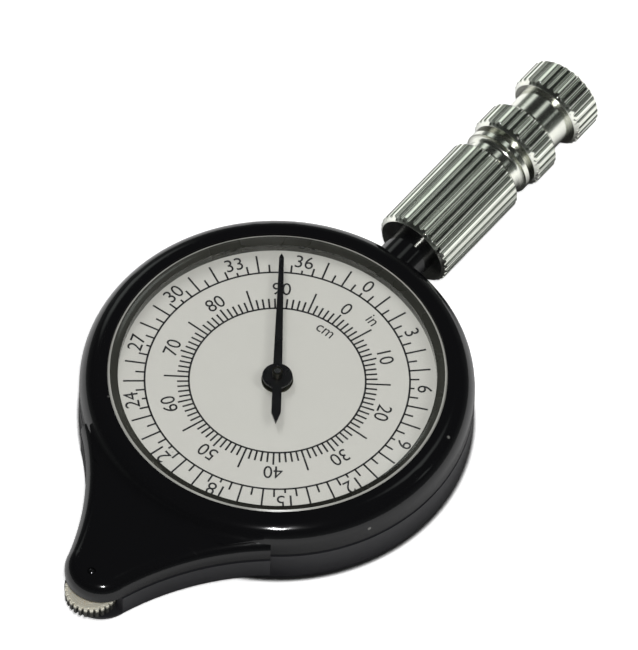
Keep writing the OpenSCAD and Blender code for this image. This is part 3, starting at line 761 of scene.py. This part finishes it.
class BuildMovement(bpy.types.Operator):
    """Dress the plate, its screws and the gear train inside the case"""

    bl_idname = "measurer.movement"
    bl_label = "Movement"

    def execute(self, context):
        finish = settings("finish")

        def dress(node, material):
            slots = frame["nodes"][node].data.materials
            slots.clear()
            slots.append(material)

        dress("movement_plate", turned_metal("Brushed brass plate", finish.brass, 0.28, 0.45))
        steel = turned_metal("Arbor steel", finish.steel, 0.15, 0.25)
        for node in ARBORS:
            dress(node, steel)
        screws = turned_metal("Screw steel", finish.steel, 0.25, 0.4, across=5000.0)
        for node in SCREWS:
            dress(node, screws)
        for node in GEARS + PINIONS:
            low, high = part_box(node)
            centre = (0, (low[1] + high[1]) / 2, 0)
            label = "Cut brass " + node.replace("_", " ")
            dress(node, turned_metal(label, finish.brass, 0.25, 0.4, centre=centre))
        return {"FINISHED"}


class BuildHandle(bpy.types.Operator):
    """Dress the chromed grip and its cap"""

    bl_idname = "measurer.handle"
    bl_label = "Handle"

    def execute(self, context):
        chrome = chrome_plate()
        for node in ("grip_barrel", "grip_cap"):
            smooth_node(node, chrome, degrees=40, bevel=settings("handle").broken_edge)
        return {"FINISHED"}


class BuildStage(bpy.types.Operator):
    """Set the floor, the backdrop, the lamps and the camera"""

    bl_idname = "measurer.stage"
    bl_label = "Stage"

    def seen(self, tree):
        """Light that the floor adds for rays that show it: from the camera, in a mirror or through glass."""
        path = tree.add("ShaderNodeLightPath")
        both = tree.math("MAXIMUM", path.outputs["Is Camera Ray"], path.outputs["Is Glossy Ray"])
        every = tree.math("MAXIMUM", both, path.outputs["Is Transmission Ray"])
        return tree.math("MULTIPLY", every, settings("staging").lift)

    def floor(self):
        form = settings("staging")
        bm = bmesh.new()
        bmesh.ops.create_grid(bm, x_segments=1, y_segments=1, size=form.floor / 2,
                              matrix=Matrix.Translation((0, 0, -FLOOR_GAP)))
        mesh = bpy.data.meshes.new("floor")
        bm.to_mesh(mesh)
        bm.free()
        floor = bpy.data.objects.new("floor", mesh)
        bpy.context.scene.collection.objects.link(floor)
        finish = Finish("Pale floor")
        path = finish.add("ShaderNodeLightPath")
        near, far = (finish.add("ShaderNodeAmbientOcclusion", {"Distance": reach}, samples=12).outputs["AO"]
                     for reach in (form.shade, form.mirrored_shade))
        direct = finish.ramp(near, 0.52, 0.8)
        mirrored = finish.ramp(far, 0.6, 1.0, 0.02, 1.0)
        light = finish.add("ShaderNodeMix", {"Factor": path.outputs["Is Camera Ray"], "A": mirrored, "B": direct})
        light = light.outputs["Result"]
        finish.surface(Base_Color=finish.blend(light, rgb(form.pale, 0.02), rgb(form.pale)), Roughness=0.9,
                       Specular_IOR_Level=0.0, Emission_Color=(1, 1, 1, 1),
                       Emission_Strength=finish.math("MULTIPLY", self.seen(finish), light))
        mesh.materials.append(finish.material)

    def panel(self, tree, way, azimuth, elevation, reach, strength):
        """Brightness of a round soft panel in the sky; place and reach are given in degrees."""
        towards = heading(azimuth, elevation)
        near = tree.add("ShaderNodeVectorMath", {0: way, 1: towards}, operation="DOT_PRODUCT").outputs["Value"]
        edge = [math.cos(math.radians(reach * share)) for share in (1.0, 0.35)]
        return tree.ramp(near, edge[0], edge[1], 0.0, strength)

    def world(self):
        world = bpy.data.worlds.new("Studio")
        bpy.context.scene.world = world
        world.use_nodes = True
        t = Tree(world.node_tree)
        back = world.node_tree.nodes["Background"]
        way = t.add("ShaderNodeTexCoord").outputs["Generated"]
        up = t.add("ShaderNodeSeparateXYZ", {0: way}).outputs["Z"]
        studio = t.math("MULTIPLY", t.ramp(up, 0.0, 0.12, 0.4, 0.18), t.ramp(up, 0.12, 0.45, 1.0, 0.18))
        for panel in PANELS:
            studio = t.math("MAXIMUM", studio, self.panel(t, way, *panel))
        path = t.add("ShaderNodeLightPath")
        mirrored = t.math("MAXIMUM", path.outputs["Is Glossy Ray"], path.outputs["Is Transmission Ray"])
        camera = path.outputs["Is Camera Ray"]
        rest = t.math("SUBTRACT", t.math("SUBTRACT", 1.0, mirrored), camera, clamp=True)
        shown = t.math("MULTIPLY_ADD", mirrored, studio, camera)
        t.set(back.inputs["Strength"], t.math("MULTIPLY_ADD", rest, settings("staging").fill, shown))
        t.set(back.inputs["Color"], t.blend(mirrored, (1, 1, 1, 1), (0.93, 1.0, 0.95, 1)))

    def lamp(self, name, azimuth, elevation, distance, width, power, mirrored):
        """A square soft box that faces the object."""
        data = bpy.data.lights.new(name, "AREA")
        data.shape = "SQUARE"
        data.size = width
        data.energy = power
        place = distance * heading(azimuth, elevation)
        lamp = bpy.data.objects.new(name, data)
        lamp.location = place
        lamp.rotation_euler = (-place).to_track_quat("-Z", "Y").to_euler()
        lamp.visible_glossy = mirrored
        lamp.visible_transmission = mirrored
        bpy.context.scene.collection.objects.link(lamp)

    def camera(self):
        form = settings("staging")
        data = bpy.data.cameras.new("Camera")
        data.lens = form.lens
        data.sensor_width = 36
        data.clip_start = 0.1
        data.clip_end = 20
        camera = bpy.data.objects.new("Camera", data)
        camera.location = form.eye
        camera.rotation_euler = Euler(form.turn)
        bpy.context.scene.collection.objects.link(camera)
        bpy.context.scene.camera = camera

    def execute(self, context):
        self.floor()
        self.world()
        self.camera()
        for lamp in LAMPS:
            self.lamp(*lamp)
        context.scene.view_settings.view_transform = "Standard"
        return {"FINISHED"}


class MeasurerPanel(bpy.types.Panel):
    """Buttons for each group of pieces, in the order in which they are built"""

    bl_idname = "VIEW3D_PT_map_measurer"
    bl_label = "Map Measurer"
    bl_space_type = "VIEW_3D"
    bl_region_type = "UI"
    bl_category = "Map Measurer"

    def draw(self, context):
        for step in STEPS:
            self.layout.operator(step.bl_idname)
        for key in GROUPS:
            box = self.layout.box()
            for name in GROUPS[key].__annotations__:
                box.prop(getattr(context.scene, PREFIX + key), name)


STEPS = (BuildShells, BuildCrystal, BuildDial, BuildPointer, BuildWheel, BuildMovement, BuildHandle, BuildStage)


def register():
    for cls in (*GROUPS.values(), *STEPS, MeasurerPanel):
        bpy.utils.register_class(cls)
    for key, cls in GROUPS.items():
        setattr(bpy.types.Scene, PREFIX + key, PointerProperty(type=cls))


def unregister():
    for key in GROUPS:
        delattr(bpy.types.Scene, PREFIX + key)
    for cls in reversed((*GROUPS.values(), *STEPS, MeasurerPanel)):
        bpy.utils.unregister_class(cls)


def main():
    register()
    for step in STEPS:
        family, name = step.bl_idname.split(".")
        getattr(getattr(bpy.ops, family), name)()


if __name__ == "__main__":
    main()
